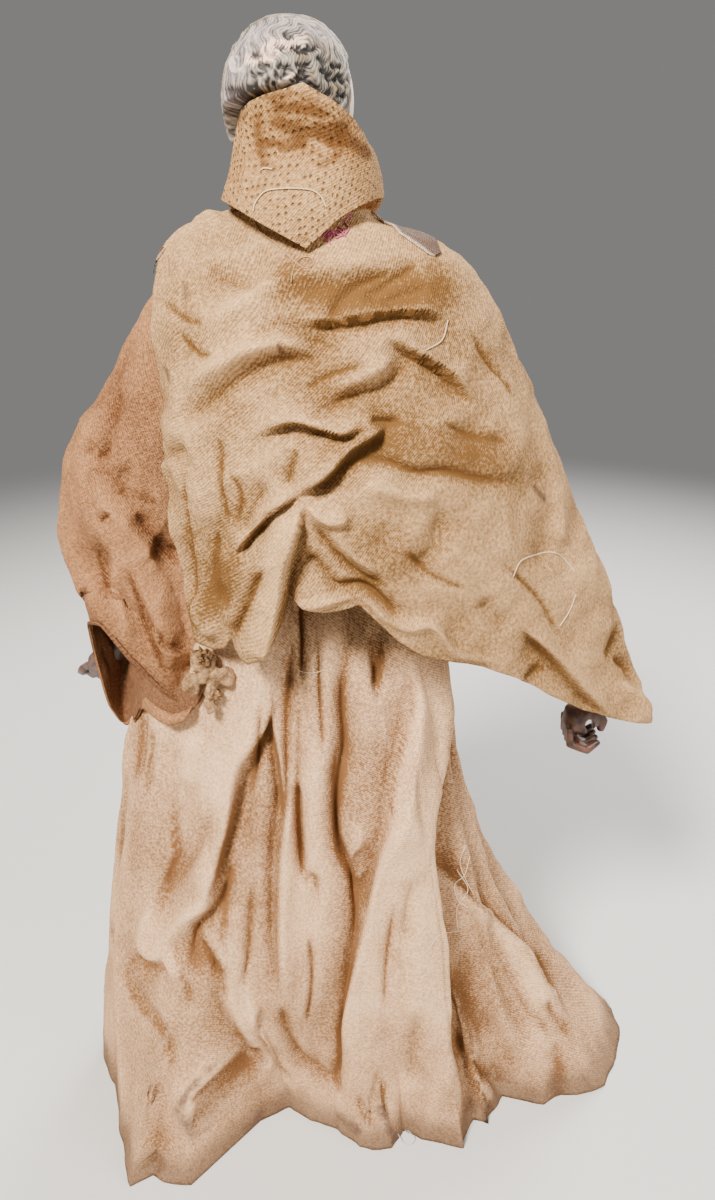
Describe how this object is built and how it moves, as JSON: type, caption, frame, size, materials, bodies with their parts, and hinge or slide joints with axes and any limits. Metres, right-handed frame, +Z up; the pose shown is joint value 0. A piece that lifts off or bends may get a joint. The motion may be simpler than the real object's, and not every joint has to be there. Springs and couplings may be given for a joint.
{
  "type": "presepe figure",
  "caption": "Nativity-scene figure with a modelled head and hands, dressed in a long cloth tunic, a cape and a stiff quilted hood; stands on its hem.",
  "frame": {"origin": "middle of the whole figure's box, on the surface that the hem stands on", "axes": "+Z up along the standing figure; the face looks along -Y, the caped back along +Y"},
  "size_m": [0.2208, 0.1332, 0.38],
  "materials": {
    "painted_terracotta": "painted terracotta, hair worn at the high points, satin",
    "flesh_terracotta": "grey-pink painted terracotta, dusty",
    "dark_terracotta": "dark brown painted terracotta, worn satin",
    "quilted_hood": "yellow-brown stiffened twill, stained, pricked with rows of stitches",
    "cape_twill": "camel wool twill, matt, crumpled",
    "tunic_twill": "tan wool twill, matt, dirty at the hem",
    "sleeve_twill": "reddish tan wool twill, matt",
    "dark_weave": "dark brown braid with a pale stitched edge"
  },
  "bodies": {
    "root": {"head": "painted_terracotta", "hood": "quilted_hood", "cape": "cape_twill", "tunic": "tunic_twill", "left_sleeve": "sleeve_twill", "right_sleeve": "sleeve_twill", "left_hand": "flesh_terracotta", "right_hand": "dark_terracotta", "right_shoulder_patch": "dark_weave", "left_shoulder_patch": "dark_weave"}
  },
  "joints": []
}
